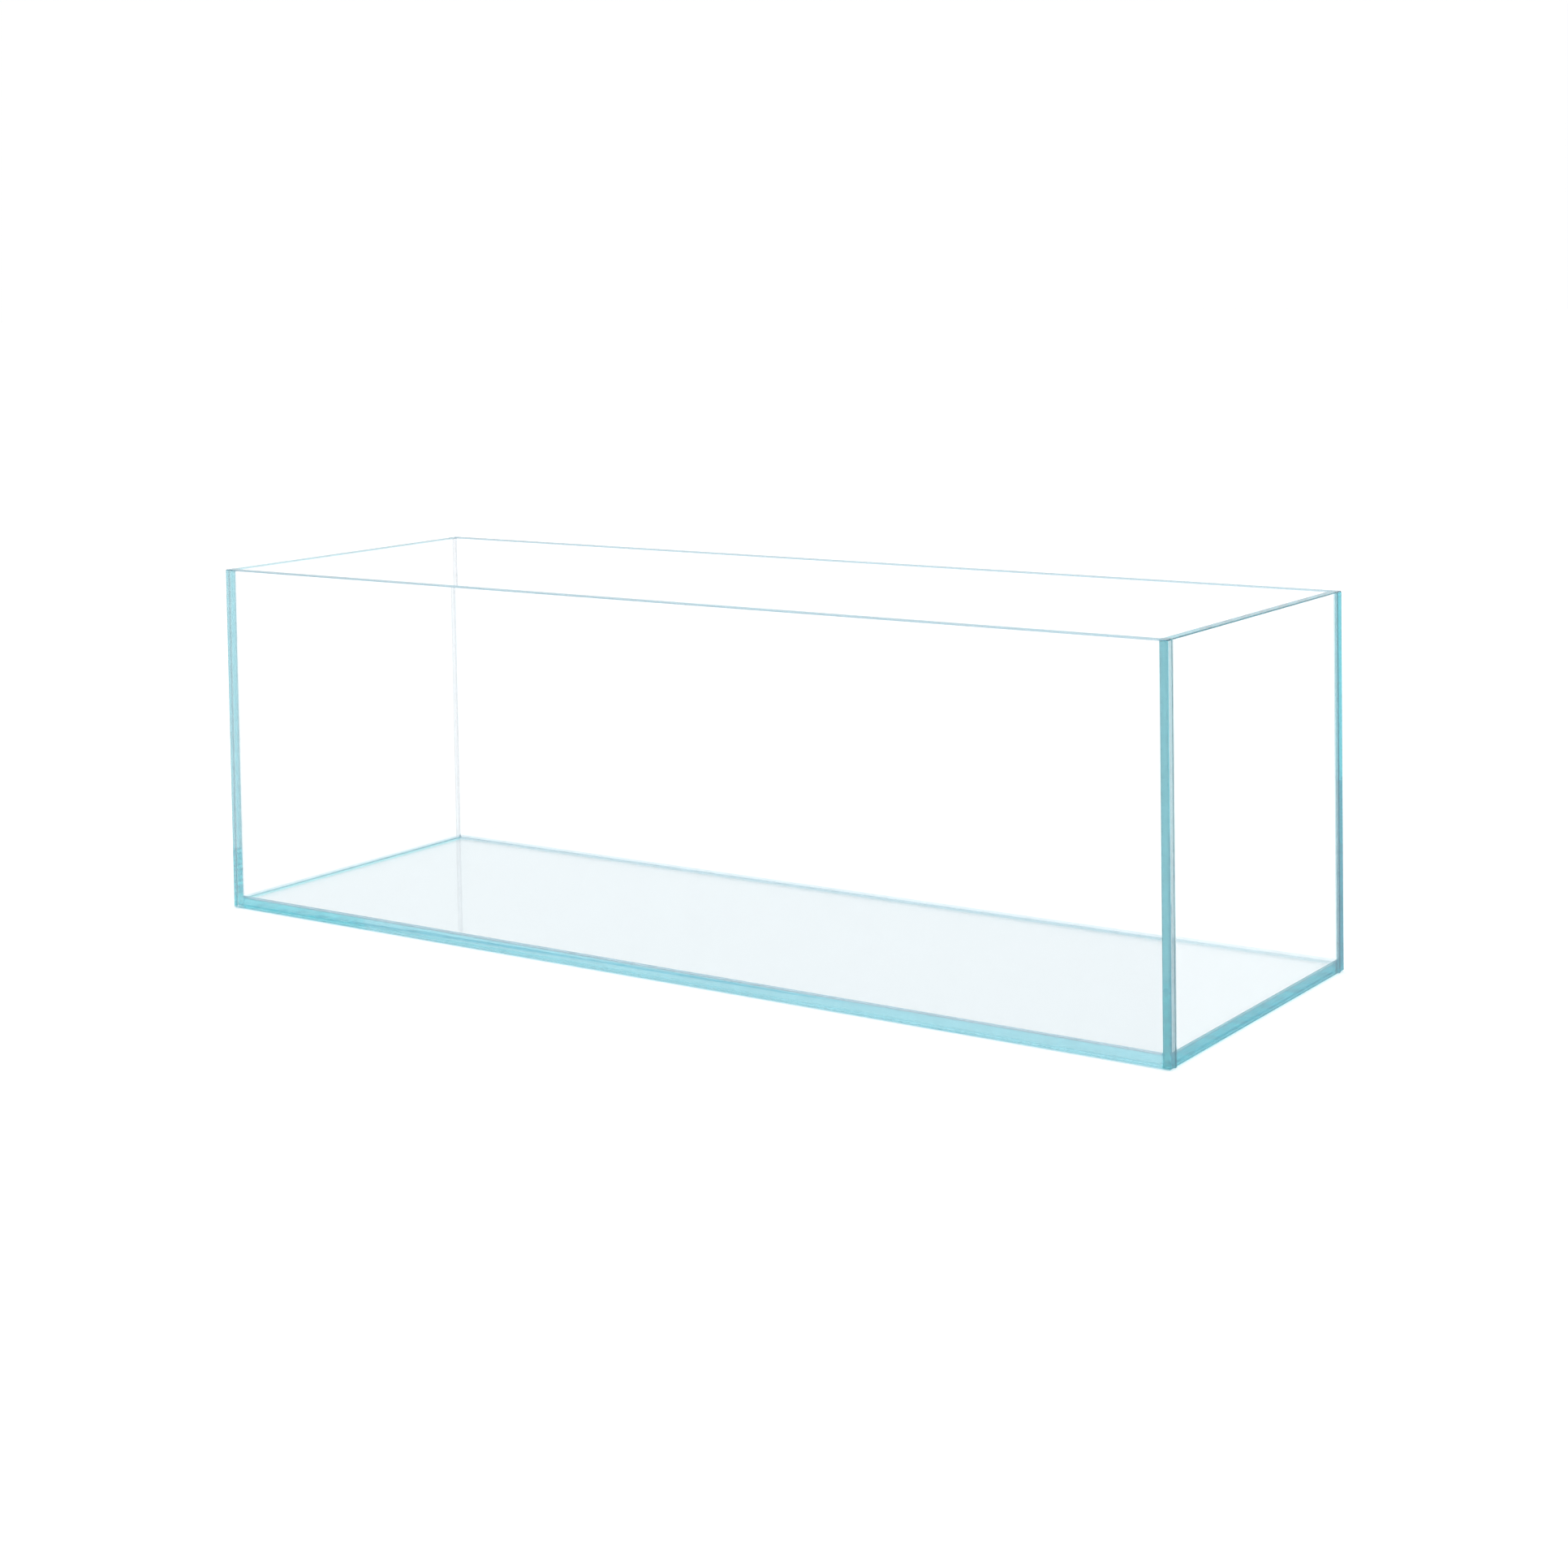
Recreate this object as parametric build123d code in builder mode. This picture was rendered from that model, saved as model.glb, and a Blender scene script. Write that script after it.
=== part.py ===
"""Rimless glass aquarium tank, 90 x 30 x 30 cm class: five polished low-iron panes bonded with clear silicone.

Millimetres. The origin is the middle of the underside, +Z is up, +X runs along the tank and the front
pane is on the -Y side. The base pane lies between the four walls, level with their feet. The front and
back panes run the full length and cover the ends of the two side panes. A thin silicone bond fills
every joint between two panes, and a small tooled bead lines the edge of the floor.
"""

from build123d import *
import os

os.makedirs("parts", exist_ok=True)

# Driving dimensions
tank_length = 900.0  # outside, along X
tank_depth = 300.0  # outside, along Y
tank_height = 295.0  # underside to rim
glass = 8.0  # thickness of every pane
bond = 1.0  # silicone between two panes
arris = 0.8  # flat polished along every glass edge
bead_leg = 2.2  # how far a floor bead reaches up the wall and along the floor
bead_hollow = 0.35  # how far its tooled face dips below the straight line between its legs

# Half sizes that follow from them
half_length = tank_length / 2
half_depth = tank_depth / 2
inner_x = half_length - glass
inner_y = half_depth - glass


def finish(part, name):
    """Names a finished piece, writes its file and hands it back."""
    part.label = name
    export_step(part, f"parts/{name}.step")
    return part


def lay_block(x_span, y_span, height):
    """A block standing on the ground between two X and two Y values, given in either order."""
    with BuildPart() as block:
        with BuildSketch():
            with Locations(((x_span[0] + x_span[1]) / 2, (y_span[0] + y_span[1]) / 2)):
                Rectangle(abs(x_span[1] - x_span[0]), abs(y_span[1] - y_span[0]))
        extrude(amount=height)
    return block.part


def cut_pane(name, x_span, y_span, height):
    """A rectangular sheet of glass with every edge arrised."""
    with BuildPart() as pane:
        add(lay_block(x_span, y_span, height))
        chamfer(pane.edges(), arris)
    return finish(pane.part, name)


def fill_seam(name, x_span, y_span, height, neighbours):
    """Silicone in the gap between panes, trimmed flush with them and filling the arrises beside it."""
    with BuildPart() as seam:
        add(lay_block(x_span, y_span, height))
        for neighbour in neighbours:
            add(neighbour, mode=Mode.SUBTRACT)
    return finish(seam.part, name)


def bead_section(plane):
    """The closed section of a bead in the corner of the plane's two axes, with a hollow tooled face."""
    middle = bead_leg / 2 - bead_hollow / 2**0.5
    with BuildSketch(plane) as section:
        with BuildLine():
            Polyline((0, bead_leg), (0, 0), (bead_leg, 0))
            ThreePointArc((bead_leg, 0), (middle, middle), (0, bead_leg))
        make_face()
    return section.sketch


# Glass
floor_x = inner_x - bond
floor_y = inner_y - bond
base_pane = cut_pane("base_pane", (-floor_x, floor_x), (-floor_y, floor_y), glass)
front_pane = cut_pane("front_pane", (-half_length, half_length), (-half_depth, -inner_y), tank_height)
back_pane = cut_pane("back_pane", (-half_length, half_length), (inner_y, half_depth), tank_height)
left_pane = cut_pane("left_pane", (-half_length, -inner_x), (-floor_y, floor_y), tank_height)
right_pane = cut_pane("right_pane", (inner_x, half_length), (-floor_y, floor_y), tank_height)

# Floor bonds, round the edge of the base pane. The long ones run the full inside length and fill the
# base pane's upright corner arrises, and the short ones run between them.
floor_bonds = {}
for side, pane, y_sign in (("front", front_pane, -1), ("back", back_pane, 1)):
    y_span = (y_sign * (floor_y - arris), y_sign * (inner_y + arris))
    floor_bonds[side] = fill_seam(f"{side}_floor_bond", (-inner_x, inner_x), y_span, glass, [base_pane, pane])
for side, pane, x_sign in (("left", left_pane, -1), ("right", right_pane, 1)):
    x_span = (x_sign * (floor_x - arris), x_sign * (inner_x + arris))
    y_span = (arris - floor_y, floor_y - arris)
    floor_bonds[side] = fill_seam(f"{side}_floor_bond", x_span, y_span, glass, [base_pane, pane])

# Corner bonds, between each end of a side pane and the long pane that covers it
for long_side, long_pane, y_sign in (("front", front_pane, -1), ("back", back_pane, 1)):
    for short_side, short_pane, x_sign in (("left", left_pane, -1), ("right", right_pane, 1)):
        x_span = (x_sign * inner_x, x_sign * half_length)
        y_span = (y_sign * (floor_y - arris), y_sign * (inner_y + arris))
        neighbours = [long_pane, short_pane, floor_bonds[long_side], floor_bonds[short_side]]
        fill_seam(f"{long_side}_{short_side}_corner_bond", x_span, y_span, tank_height, neighbours)

# Floor beads. They go round anticlockwise seen from above: each starts in a corner, follows its wall
# and ends in the next corner, and meets its neighbours in mitres.
east, north = Vector(1, 0, 0), Vector(0, 1, 0)
bead_runs = [
    ("front", Vector(-inner_x, -inner_y, glass), east, north, 2 * inner_x),
    ("right", Vector(inner_x, -inner_y, glass), north, -east, 2 * inner_y),
    ("back", Vector(inner_x, inner_y, glass), -east, -north, 2 * inner_x),
    ("left", Vector(-inner_x, inner_y, glass), -north, east, 2 * inner_y),
]
for side, corner, along, inward, run in bead_runs:
    with BuildPart() as floor_bead:
        extrude(bead_section(Plane(origin=corner, x_dir=inward, z_dir=along)), amount=run)
        split(bisect_by=Plane(origin=corner, z_dir=along - inward), keep=Keep.TOP)
        split(bisect_by=Plane(origin=corner + along * run, z_dir=-along - inward), keep=Keep.TOP)
    finish(floor_bead.part, f"{side}_floor_bead")
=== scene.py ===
"""A rimless low-iron glass aquarium on a plain white studio floor."""

import math

import bpy
from mathutils import Matrix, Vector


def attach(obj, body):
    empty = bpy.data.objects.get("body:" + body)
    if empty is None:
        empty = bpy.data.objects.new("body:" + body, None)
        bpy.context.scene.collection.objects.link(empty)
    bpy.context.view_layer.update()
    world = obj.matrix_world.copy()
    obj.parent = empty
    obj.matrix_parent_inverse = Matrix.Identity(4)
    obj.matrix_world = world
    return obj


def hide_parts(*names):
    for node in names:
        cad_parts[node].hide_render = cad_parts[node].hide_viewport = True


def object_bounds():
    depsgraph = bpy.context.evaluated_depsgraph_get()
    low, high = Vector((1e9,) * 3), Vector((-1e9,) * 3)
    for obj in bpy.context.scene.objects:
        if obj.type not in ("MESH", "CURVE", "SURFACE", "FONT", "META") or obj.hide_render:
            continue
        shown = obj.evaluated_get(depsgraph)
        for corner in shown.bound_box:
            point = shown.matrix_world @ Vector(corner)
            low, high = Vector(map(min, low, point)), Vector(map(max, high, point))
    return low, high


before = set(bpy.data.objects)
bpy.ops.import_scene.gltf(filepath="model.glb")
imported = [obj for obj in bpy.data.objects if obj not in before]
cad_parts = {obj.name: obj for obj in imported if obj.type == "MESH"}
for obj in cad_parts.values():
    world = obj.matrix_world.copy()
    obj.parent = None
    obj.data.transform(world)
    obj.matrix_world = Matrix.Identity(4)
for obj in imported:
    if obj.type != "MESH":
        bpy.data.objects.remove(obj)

cad_box = [list(corner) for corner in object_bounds()]

# Where the camera stands, in metres and degrees, in the tank's frame
CAMERA_PLACE = (1.2627, -1.7853, 0.5598)
CAMERA_TURN = 34.48
CAMERA_TILT = -2.71
CAMERA_ROLL = 0.91
CAMERA_LENS = 61.77  # millimetres, and the sensor's width under it
CAMERA_SENSOR = 36.0
CAMERA_RISE = -0.2567  # lens shift, so that the camera stays nearly level and the uprights nearly upright

# Absorption per metre of red, green and blue light. These and every tint below were chosen for the
# look of the tank from the camera's side. None of them was measured on real glass or silicone.
GLASS_TAKES = (2.4, 0.42, 0.28)
BOND_TAKES = (4.0, 3.0, 3.0)
BEAD_TAKES = (30.0, 20.0, 14.0)
GLASS_IOR = 1.52
SILICONE_IOR = 1.41

# Painted shade on the light that crosses a pane, by the kind of face: faint on the walls' faces, more on
# the base's faces, the bare edges and the rims. Light reflected inside keeps its colour.
WALL_FACE_PAINTED_SHADE = (0.972, 0.976, 0.980)
BASE_FACE_PAINTED_SHADE = (0.84, 0.85, 0.865)
EDGE_PAINTED_SHADE = (0.93, 0.80, 0.80)
LONG_RIM_PAINTED_SHADE = (0.30, 0.46, 0.55)
SIDE_RIM_PAINTED_SHADE = (0.60, 0.85, 0.90)

# The same for the silicone, by joint, although a real tank has one clear silicone all round: the right
# corner's dark teal is painted shade, and the end bonds' turquoise painted light
END_BOND_PAINTED_LIGHT = (0.60, 1.0, 1.0)
LONG_BOND_TINT = (0.84, 0.89, 0.92)
LEFT_CORNER_TINT = (0.85, 0.86, 0.88)
RIGHT_CORNER_PAINTED_SHADE = (0.56, 0.73, 0.76)
BEAD_TINT = (0.85, 0.9, 0.93)
CORNER_ROUGHNESS = 0.05
BEAD_ROUGHNESS = 0.2
STREAK = 0.9  # a streak's tint, as a share of the tint beside it

ARRIS = 0.0009  # a ground arris lies within this of the outside, in metres
ARRIS_ROUGHNESS = 0.5  # the arrises are ground, and the faces beside them polished
SQUARE_ON = 0.9  # a face whose normal is turned this far along an axis lies square to it
LINES_ACROSS = 500  # the grinding lines' noise cells to a metre through the thickness, and along the edge
LINES_ALONG = 8
LINE_DEPTH = 0.00001
STREAK_FROM = 0.45  # the level of the noise where a streak starts, and how sharply it deepens
STREAK_GAIN = 2.0
STREAK_SCALE = 90.0
STREAK_DEPTH = 0.00002

# How far each face of the silicone moves out into the glass it wets, in metres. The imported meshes
# don't share corners between faces, so this leaves slits about as wide along the edges.
SWELL = 0.000034

FLOOR_HALF = 20.0
FLOOR_LOW = -0.0005  # a hair of air under the base keeps its lower face a mirror
FLOOR_GREY = 0.8
FLOOR_GLOW = 0.22
# The light by the sine of its angle above the horizon: even white low down, and brighter overhead
LIGHT_ZONES = [(0.10, 1.005), (0.20, 1.10), (0.60, 1.10), (0.75, 1.35)]
MOST_BOUNCES = 256  # light in a pane's length turns at its faces many times

# Each pane with the axis that its thickness lies along, and its rim's painted shade
PANES = {
    "base_pane": ("Z", LONG_RIM_PAINTED_SHADE),
    "front_pane": ("Y", LONG_RIM_PAINTED_SHADE),
    "back_pane": ("Y", LONG_RIM_PAINTED_SHADE),
    "left_pane": ("X", SIDE_RIM_PAINTED_SHADE),
    "right_pane": ("X", SIDE_RIM_PAINTED_SHADE),
}


def new_material(name):
    """An empty node material: its nodes, its links and its output."""
    material = bpy.data.materials.new(name)
    material.use_nodes = True
    tree = material.node_tree
    tree.nodes.clear()
    output = tree.nodes.new("ShaderNodeOutputMaterial")
    return material, tree.nodes, tree.links, output


def add_absorption(nodes, links, output, taken):
    """Darkens light on its way through the piece, by this absorption per metre of each colour."""
    density = 2 * max(taken)
    absorption = nodes.new("ShaderNodeVolumeAbsorption")
    absorption.inputs["Color"].default_value = (*[1 - t / density for t in taken], 1)
    absorption.inputs["Density"].default_value = density
    links.new(absorption.outputs["Volume"], output.inputs["Volume"])


def clear_shader(nodes, links, output, ior, roughness):
    """A see-through surface with this refractive index."""
    shader = nodes.new("ShaderNodeBsdfPrincipled")
    shader.inputs["Base Color"].default_value = (1, 1, 1, 1)
    shader.inputs["Roughness"].default_value = roughness
    shader.inputs["IOR"].default_value = ior
    shader.inputs["Transmission Weight"].default_value = 1.0
    links.new(shader.outputs["BSDF"], output.inputs["Surface"])
    return shader


def math_node(nodes, links, operation, first, second):
    """A Math node on two inputs, each a socket or a number."""
    node = nodes.new("ShaderNodeMath")
    node.operation = operation
    for socket, value in zip(node.inputs, (first, second)):
        if isinstance(value, (int, float)):
            socket.default_value = value
        else:
            links.new(value, socket)
    return node.outputs["Value"]


def face_normal(nodes, links):
    """How far a flat face is turned towards each axis, as three sockets from 0 to 1."""
    geometry = nodes.new("ShaderNodeNewGeometry")
    split = nodes.new("ShaderNodeSeparateXYZ")
    links.new(geometry.outputs["True Normal"], split.inputs["Vector"])
    return [math_node(nodes, links, "ABSOLUTE", split.outputs[axis], 0) for axis in "XYZ"]


def lies_outside(nodes, links, axes):
    """1 within an arris's reach of the tank's sides or top on any of these axes, and 0 further in."""
    geometry = nodes.new("ShaderNodeNewGeometry")
    split = nodes.new("ShaderNodeSeparateXYZ")
    links.new(geometry.outputs["Position"], split.inputs["Vector"])
    outside = 0
    for axis in axes:
        reach = cad_box[1]["XYZ".index(axis)] - ARRIS
        beyond = math_node(nodes, links, "ABSOLUTE", split.outputs[axis], 0)
        beyond = math_node(nodes, links, "GREATER_THAN", beyond, reach)
        outside = math_node(nodes, links, "MAXIMUM", outside, beyond)
    return outside


def tint_where(nodes, links, place, colour, tint):
    """The colour, which is a socket or a colour, changed to the tint where the place is 1."""
    mix = nodes.new("ShaderNodeMix")
    mix.data_type = "RGBA"
    factor, first, second = mix.inputs[0], mix.inputs[6], mix.inputs[7]
    links.new(place, factor)
    if isinstance(colour, tuple):
        first.default_value = (*colour, 1)
    else:
        links.new(colour, first)
    second.default_value = (*tint, 1)
    return mix.outputs[2]


def glass_material(name, thickness_axis, rim_painted_shade):
    """Clear glass: polished faces, ground rims, and fine grinding lines along the edges, with painted shade
    on the faces, the bare edges and the rims.
    """
    material, nodes, links, output = new_material(name)
    glass = clear_shader(nodes, links, output, GLASS_IOR, 0.0)
    turned = face_normal(nodes, links)
    face = math_node(nodes, links, "GREATER_THAN", turned["XYZ".index(thickness_axis)], SQUARE_ON)
    edge = math_node(nodes, links, "SUBTRACT", 1.0, face)
    squarest = math_node(nodes, links, "MAXIMUM", turned[0], turned[1])
    squarest = math_node(nodes, links, "MAXIMUM", squarest, turned[2])
    slant = math_node(nodes, links, "LESS_THAN", squarest, SQUARE_ON)
    shaded_bare_edge = math_node(nodes, links, "MULTIPLY", edge, lies_outside(nodes, links, "XYZ"))
    rim = math_node(nodes, links, "MULTIPLY", edge, lies_outside(nodes, links, "Z"))
    # Painted shade: the base's faces darker than the walls' faces, for the shade under the tank
    face_painted_shade = BASE_FACE_PAINTED_SHADE if thickness_axis == "Z" else WALL_FACE_PAINTED_SHADE
    colour = tint_where(nodes, links, face, (1, 1, 1), face_painted_shade)
    # Painted shade on the bare edges outside
    colour = tint_where(nodes, links, shaded_bare_edge, colour, EDGE_PAINTED_SHADE)
    # Painted shade on the rims, darker on the long rims than on the side rims
    colour = tint_where(nodes, links, rim, colour, rim_painted_shade)
    links.new(colour, glass.inputs["Base Color"])
    rim_arris = math_node(nodes, links, "MULTIPLY", slant, rim)
    rim_roughness = math_node(nodes, links, "MULTIPLY", rim_arris, ARRIS_ROUGHNESS)
    links.new(rim_roughness, glass.inputs["Roughness"])

    # Grinding lines run along an edge, so they're close together through the thickness and long beside it
    where = nodes.new("ShaderNodeTexCoord")
    stretch = nodes.new("ShaderNodeMapping")
    stretch.inputs["Scale"].default_value = [
        LINES_ACROSS if axis == thickness_axis else LINES_ALONG for axis in "XYZ"
    ]
    lines = nodes.new("ShaderNodeTexNoise")
    lines.inputs["Scale"].default_value = 1.0
    lines.inputs["Detail"].default_value = 3.0
    links.new(where.outputs["Object"], stretch.inputs["Vector"])
    links.new(stretch.outputs["Vector"], lines.inputs["Vector"])
    bump = nodes.new("ShaderNodeBump")
    bump.inputs["Distance"].default_value = LINE_DEPTH
    links.new(edge, bump.inputs["Strength"])
    links.new(lines.outputs["Fac"], bump.inputs["Height"])
    links.new(bump.outputs["Normal"], glass.inputs["Normal"])
    add_absorption(nodes, links, output, GLASS_TAKES)
    return material


def silicone_material(name, tint, roughness, taken):
    """Clear silicone with a faintly wavy skin and a few darker streaks."""
    material, nodes, links, output = new_material(name)
    rubber = clear_shader(nodes, links, output, SILICONE_IOR, roughness)
    where = nodes.new("ShaderNodeTexCoord")
    streaks = nodes.new("ShaderNodeTexNoise")
    streaks.inputs["Scale"].default_value = STREAK_SCALE
    streaks.inputs["Detail"].default_value = 2.0
    links.new(where.outputs["Object"], streaks.inputs["Vector"])
    streak = math_node(nodes, links, "SUBTRACT", streaks.outputs["Fac"], STREAK_FROM)
    streak = math_node(nodes, links, "MULTIPLY", streak, STREAK_GAIN)
    streak = math_node(nodes, links, "MAXIMUM", streak, 0.0)
    darker = tuple(STREAK * share for share in tint)
    links.new(tint_where(nodes, links, streak, tint, darker), rubber.inputs["Base Color"])
    bump = nodes.new("ShaderNodeBump")
    bump.inputs["Distance"].default_value = STREAK_DEPTH
    links.new(streaks.outputs["Fac"], bump.inputs["Height"])
    links.new(bump.outputs["Normal"], rubber.inputs["Normal"])
    add_absorption(nodes, links, output, taken)
    return material


def dress_panes():
    """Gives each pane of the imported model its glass."""
    for name, (axis, rim_painted_shade) in PANES.items():
        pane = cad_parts[name]
        for slot in pane.material_slots:
            slot.material = glass_material(name + "_glass", axis, rim_painted_shade)


def pour_silicone():
    """Each silicone strip again, swollen by a hair so that it wets the glass on either side."""
    # Painted light: the end bonds' turquoise stands for light carried along the base
    end = silicone_material("end_floor_bond_painted_light_silicone", END_BOND_PAINTED_LIGHT, 0.0, BOND_TAKES)
    long = silicone_material("long_floor_bond_silicone", LONG_BOND_TINT, 0.0, BOND_TAKES)
    left = silicone_material("left_bond_silicone", LEFT_CORNER_TINT, CORNER_ROUGHNESS, BOND_TAKES)
    # Painted shade: the right corner's dark teal
    right = silicone_material("right_bond_painted_shade_silicone", RIGHT_CORNER_PAINTED_SHADE, CORNER_ROUGHNESS, BOND_TAKES)
    bead = silicone_material("floor_bead_silicone", BEAD_TINT, BEAD_ROUGHNESS, BEAD_TAKES)
    kinds = {
        "right_floor_bond": end,
        "left_floor_bond": end,
        "front_floor_bond": long,
        "back_floor_bond": long,
        "left_corner_bond": left,
        "right_corner_bond": right,
        "floor_bead": bead,
    }
    for name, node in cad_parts.items():
        if name in PANES:
            continue
        mesh = node.data.copy()
        mesh.name = name + "_silicone"
        strip = bpy.data.objects.new(name + "_silicone", mesh)
        bpy.context.scene.collection.objects.link(strip)
        for vertex, normal in zip(mesh.vertices, [v.normal.copy() for v in mesh.vertices]):
            vertex.co += SWELL * normal
        mesh.materials.clear()
        mesh.materials.append(next(kinds[kind] for kind in kinds if name.endswith(kind)))
        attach(strip, "root")
        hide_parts(name)


def lay_floor():
    """A wide, plain white floor."""
    mesh = bpy.data.meshes.new("studio_floor")
    turns = ((-1, -1), (1, -1), (1, 1), (-1, 1))
    corners = [(x * FLOOR_HALF, y * FLOOR_HALF, FLOOR_LOW) for x, y in turns]
    mesh.from_pydata(corners, [], [(0, 1, 2, 3)])
    floor = bpy.data.objects.new("studio_floor", mesh)
    bpy.context.scene.collection.objects.link(floor)
    material, nodes, links, output = new_material("studio_floor")
    paint = nodes.new("ShaderNodeBsdfPrincipled")
    paint.inputs["Base Color"].default_value = (FLOOR_GREY, FLOOR_GREY, FLOOR_GREY, 1)
    paint.inputs["Roughness"].default_value = 1.0
    paint.inputs["Specular IOR Level"].default_value = 0.0
    paint.inputs["Emission Color"].default_value = (1, 1, 1, 1)
    paint.inputs["Emission Strength"].default_value = FLOOR_GLOW
    links.new(paint.outputs["BSDF"], output.inputs["Surface"])
    mesh.materials.append(material)


def light_studio():
    """Plain soft light from all round, and enough bounces for light that runs along inside the glass."""
    world = bpy.data.worlds.new("studio")
    world.use_nodes = True
    nodes, links = world.node_tree.nodes, world.node_tree.links
    background = nodes["Background"]
    where = nodes.new("ShaderNodeTexCoord")
    split = nodes.new("ShaderNodeSeparateXYZ")
    ramp = nodes.new("ShaderNodeValToRGB")
    links.new(where.outputs["Generated"], split.inputs["Vector"])
    links.new(split.outputs["Z"], ramp.inputs["Fac"])
    links.new(ramp.outputs["Color"], background.inputs["Color"])
    brightest = LIGHT_ZONES[-1][1]
    while len(ramp.color_ramp.elements) < len(LIGHT_ZONES):
        ramp.color_ramp.elements.new(0.5)
    for element, (height, light) in zip(ramp.color_ramp.elements, LIGHT_ZONES):
        element.position = height
        element.color = (*[light / brightest] * 3, 1)
    background.inputs["Strength"].default_value = brightest
    scene = bpy.context.scene
    scene.world = world
    scene.view_settings.view_transform = "Standard"
    scene.cycles.max_bounces = MOST_BOUNCES
    scene.cycles.transmission_bounces = MOST_BOUNCES
    scene.cycles.glossy_bounces = MOST_BOUNCES
    scene.cycles.blur_glossy = 0.0


def place_camera():
    """Looks at the front and the right side from a little above the rim."""
    data = bpy.data.cameras.new("camera")
    data.lens = CAMERA_LENS
    data.sensor_width = CAMERA_SENSOR
    data.shift_y = CAMERA_RISE
    data.clip_end = 100
    camera = bpy.data.objects.new("camera", data)
    bpy.context.scene.collection.objects.link(camera)
    turn = Matrix.Rotation(math.radians(CAMERA_TURN), 4, "Z")
    tilt = Matrix.Rotation(math.radians(CAMERA_TILT), 4, "X")
    roll = Matrix.Rotation(math.radians(CAMERA_ROLL), 4, "Y")
    level = Matrix.Rotation(math.radians(90), 4, "X")
    camera.matrix_world = Matrix.Translation(CAMERA_PLACE) @ turn @ tilt @ roll @ level
    bpy.context.scene.camera = camera


place_camera()
light_studio()
lay_floor()
dress_panes()
pour_silicone()
